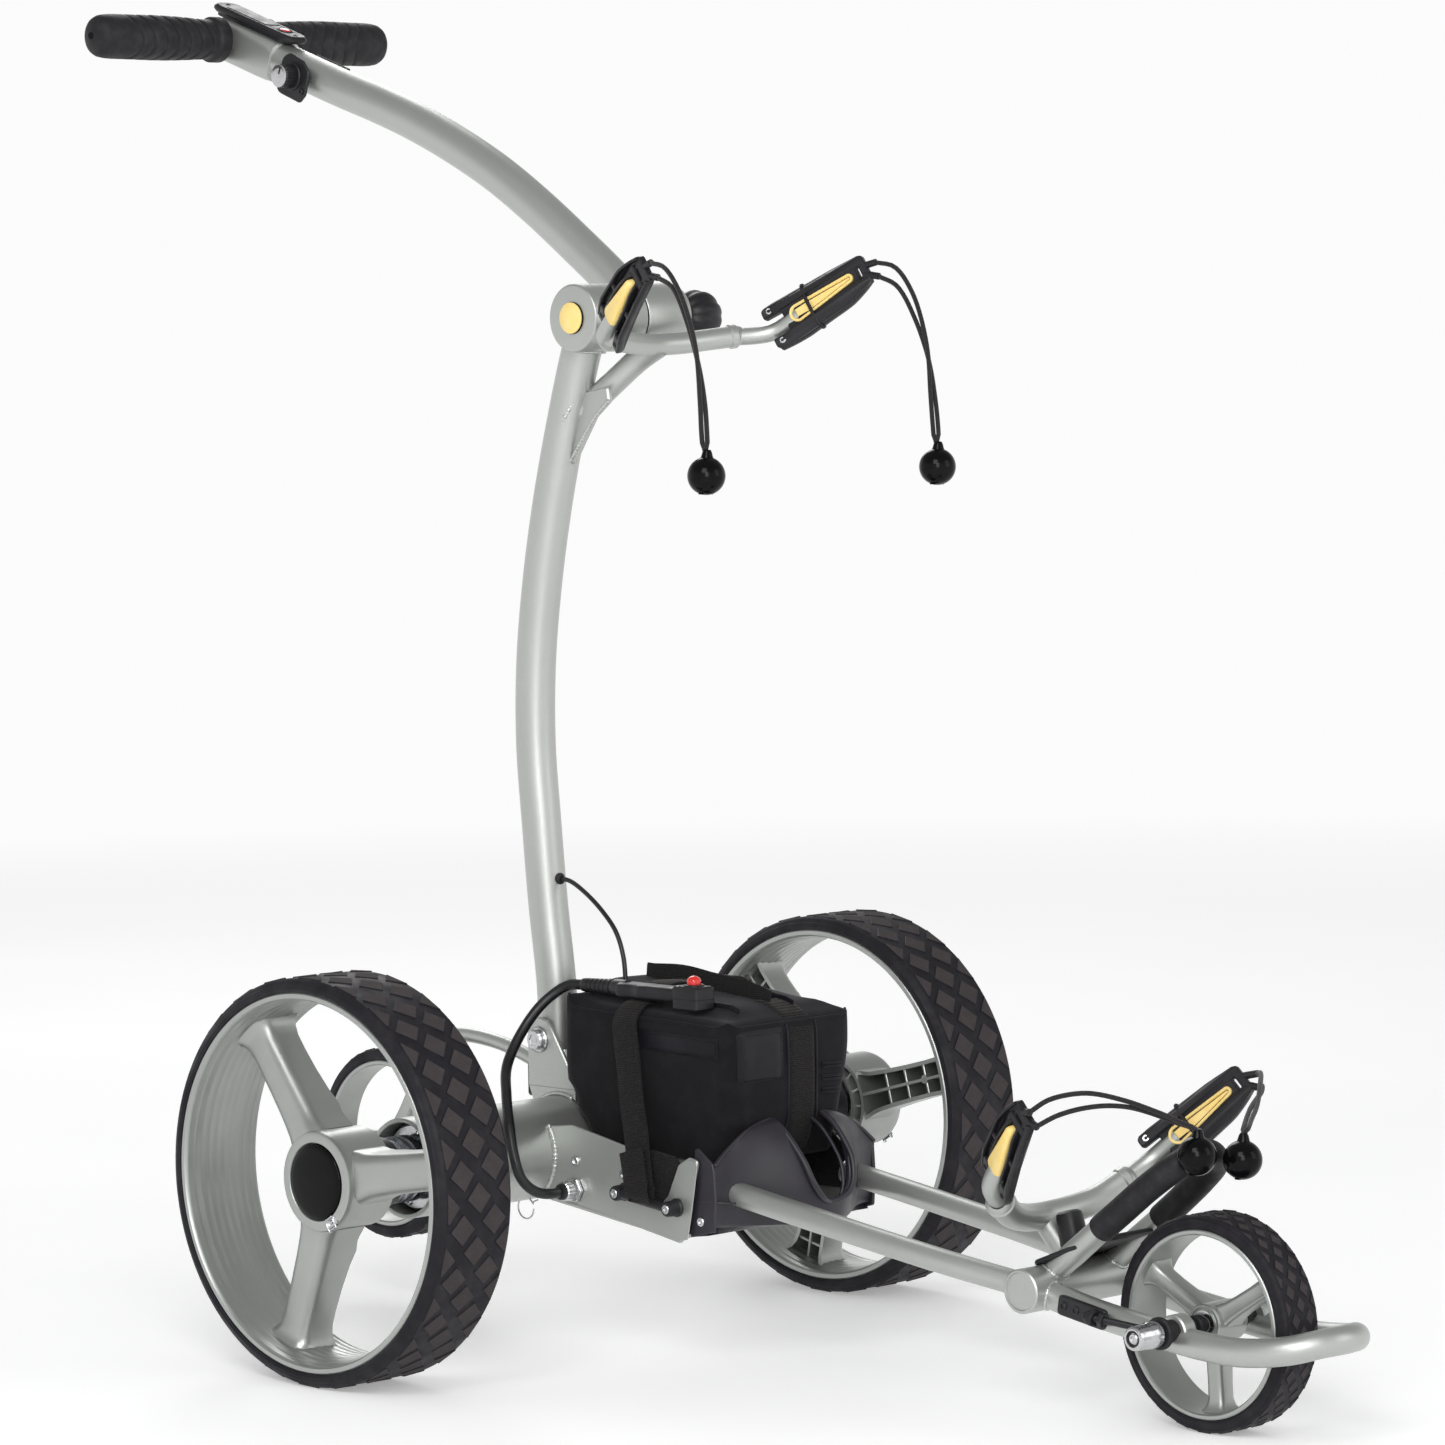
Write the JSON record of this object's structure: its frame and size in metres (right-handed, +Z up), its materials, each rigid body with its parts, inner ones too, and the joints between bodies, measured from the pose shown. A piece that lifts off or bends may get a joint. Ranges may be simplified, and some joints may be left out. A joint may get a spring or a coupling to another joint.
{
  "type": "electric golf trolley",
  "caption": "Three-wheeled powered golf trolley with a folding handle mast, bag cradles with elastic cords, battery bag, front steering loop and anti-tip wheel.",
  "frame": {"origin": "on the ground, under the middle of the overall box", "axes": "+X forwards, in the direction of travel; +Y to the left; +Z up"},
  "size_m": [1.2517, 0.6446, 1.1021],
  "materials": {
    "silver_paint": "satin silver paint with a fine metallic grain",
    "silver_wheel": "satin silver-grey moulding",
    "steel": "bright zinc and machined steel",
    "motor": "cast motor and gearbox shell",
    "black_plastic": "black moulding with a soft sheen",
    "gloss_black": "glossy black",
    "tyre_rubber": "near-black rubber, dusty on the tread blocks",
    "grip_foam": "soft black grip",
    "neoprene": "black neoprene and webbing",
    "elastic": "black braided elastic",
    "cable": "black cable jacket",
    "red_button": "glossy red"
  },
  "bodies": {
    "chassis": {"motor_housing": "silver_paint", "drive_unit_right": "motor", "drive_unit_left": "motor", "chassis_tray": "silver_paint", "chassis_connector": "steel", "controller": "black_plastic", "strap_bar": "black_plastic", "mast_bracket": "silver_paint", "mast_bolt": "steel", "antitip_arm": "silver_paint", "front_tray": "black_plastic", "frame_tube_right": "silver_paint", "frame_tube_left": "silver_paint", "cross_tube": "silver_paint", "front_loop": "silver_paint", "front_axle": "steel", "tracking_adjuster": "black_plastic", "bag_rest": "grip_foam", "lower_cradle": "silver_paint", "lower_pad_right": "black_plastic", "lower_pad_left": "black_plastic", "lower_cord_right": "elastic", "lower_ball_right": "gloss_black", "lower_cord_left": "elastic", "lower_ball_left": "gloss_black", "battery_bag": "neoprene", "battery_strap": "neoprene", "battery_plug": "black_plastic", "battery_lead": "cable", "speed_lead": "cable"},
    "right_wheel": {"rear_tyre_right": "tyre_rubber", "rear_rim_right": "silver_wheel", "hub_cap_right": "gloss_black", "drive_axle_right": "steel"},
    "left_wheel": {"rear_tyre_left": "tyre_rubber", "rear_rim_left": "silver_wheel", "hub_cap_left": "gloss_black", "drive_axle_left": "steel"},
    "right_catch": {"wheel_catch_right": "steel"},
    "left_catch": {"wheel_catch_left": "steel"},
    "front_wheel": {"front_tyre": "tyre_rubber", "front_rim": "silver_wheel"},
    "antitip_wheel": {"antitip_tyre": "tyre_rubber", "antitip_rim": "silver_wheel"},
    "mast": {"mast_tube": "silver_paint", "upper_cradle": "silver_paint", "upper_pad_right": "black_plastic", "upper_pad_left": "black_plastic", "upper_cord_right": "elastic", "upper_cord_left": "elastic", "upper_ball_right": "gloss_black", "upper_ball_left": "gloss_black"},
    "handle": {"handle_tube": "silver_paint", "grip_right": "grip_foam", "grip_left": "grip_foam", "console": "gloss_black"},
    "knob": {"lock_knob": "black_plastic"},
    "dial": {"speed_dial": "black_plastic"},
    "power": {"power_button": "red_button"},
    "reset": {"reset_button": "red_button"}
  },
  "joints": [
    {"name": "right_wheel_spin", "type": "hinge", "parent": "chassis", "child": "right_wheel", "pos_m": [-0.1415, -0.284, 0.1585], "axis": [0, 1, 0], "continuous": true},
    {"name": "left_wheel_spin", "type": "hinge", "parent": "chassis", "child": "left_wheel", "pos_m": [-0.1415, 0.284, 0.1585], "axis": [0, 1, 0], "continuous": true},
    {"name": "front_wheel_spin", "type": "hinge", "parent": "chassis", "child": "front_wheel", "pos_m": [0.4985, 0, 0.08], "axis": [0, 1, 0], "continuous": true},
    {"name": "antitip_wheel_spin", "type": "hinge", "parent": "chassis", "child": "antitip_wheel", "pos_m": [-0.3935, 0, 0.133], "axis": [0, 1, 0], "continuous": true},
    {"name": "mast_fold", "type": "hinge", "parent": "chassis", "child": "mast", "pos_m": [-0.1655, -0.027, 0.241], "axis": [0, 1, 0], "range_deg": [0, 34], "deforming": ["speed_lead"]},
    {"name": "handle_fold", "type": "hinge", "parent": "mast", "child": "handle", "pos_m": [-0.1065, 0, 0.817], "axis": [0, -1, 0], "range_deg": [0, 104]},
    {"name": "lock_knob_turn", "type": "hinge", "parent": "handle", "child": "knob", "pos_m": [-0.1065, 0.055, 0.817], "axis": [0, 1, 0], "range_deg": [0, 360]},
    {"name": "speed_dial_turn", "type": "hinge", "parent": "handle", "child": "dial", "pos_m": [-0.50565, 0.004, 1.0251], "axis": [0, -1, 0], "range_deg": [0, 270]},
    {"name": "power_press", "type": "slide", "parent": "handle", "child": "power", "axis": [-0.333, 0, -0.9429], "range_m": [0, 0.0012], "stiffness_N_per_m": 600},
    {"name": "reset_press", "type": "slide", "parent": "chassis", "child": "reset", "axis": [0, 0, -1], "range_m": [0, 0.0018], "stiffness_N_per_m": 600},
    {"name": "right_catch_slide", "type": "slide", "parent": "right_wheel", "child": "right_catch", "axis": [-0.5299, 0, 0.848], "range_m": [0, 0.0008], "stiffness_N_per_m": 900},
    {"name": "left_catch_slide", "type": "slide", "parent": "left_wheel", "child": "left_catch", "axis": [-0.5299, 0, 0.848], "range_m": [0, 0.0008], "stiffness_N_per_m": 900}
  ]
}
